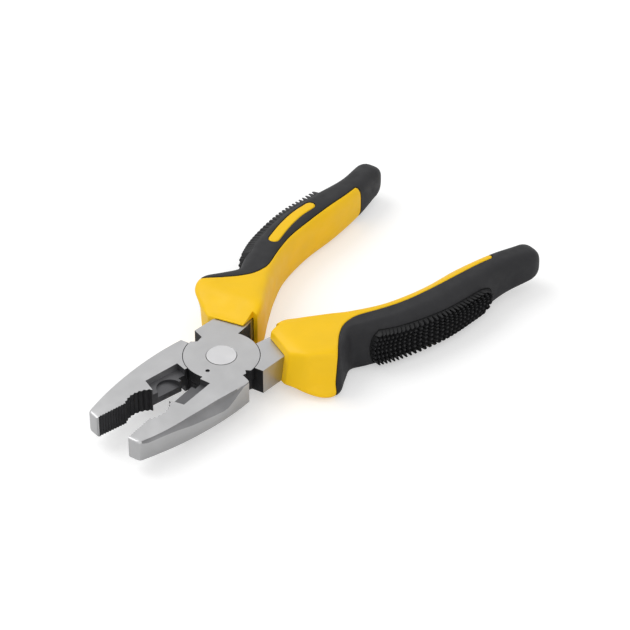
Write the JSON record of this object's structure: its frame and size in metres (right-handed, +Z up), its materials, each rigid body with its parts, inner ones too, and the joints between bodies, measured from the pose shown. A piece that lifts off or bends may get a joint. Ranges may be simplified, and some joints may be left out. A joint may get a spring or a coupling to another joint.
{
  "type": "combination pliers",
  "caption": "Combination pliers with a riveted lap joint, serrated jaws, pipe grip, side cutter and curved two-colour moulded grips",
  "frame": {"origin": "centre of the resting tool's bounding box in X and Y, on the surface it lies on", "axes": "+Y along the tool from the jaws to the handle ends, +Z up along the joint's axis, +X across the handles"},
  "size_m": [0.098, 0.1962, 0.022],
  "materials": {
    "half": "satin",
    "grip_core": "smooth satin",
    "grip_cover": "matte",
    "grip_spikes": "matte",
    "pivot_rivet": "satin"
  },
  "bodies": {
    "lower": {"lower_half": "half", "lower_grip_core": "grip_core", "lower_grip_cover": "grip_cover", "lower_grip_spikes": "grip_spikes", "pivot_rivet": "pivot_rivet"},
    "upper": {"upper_half": "half", "upper_grip_core": "grip_core", "upper_grip_cover": "grip_cover", "upper_grip_spikes": "grip_spikes"}
  },
  "joints": [
    {"name": "pivot", "type": "hinge", "parent": "lower", "child": "upper", "pos_m": [0, -0.03904, 0.011], "axis": [0, 0, 1], "range_deg": [-15.8, 22.5]}
  ]
}
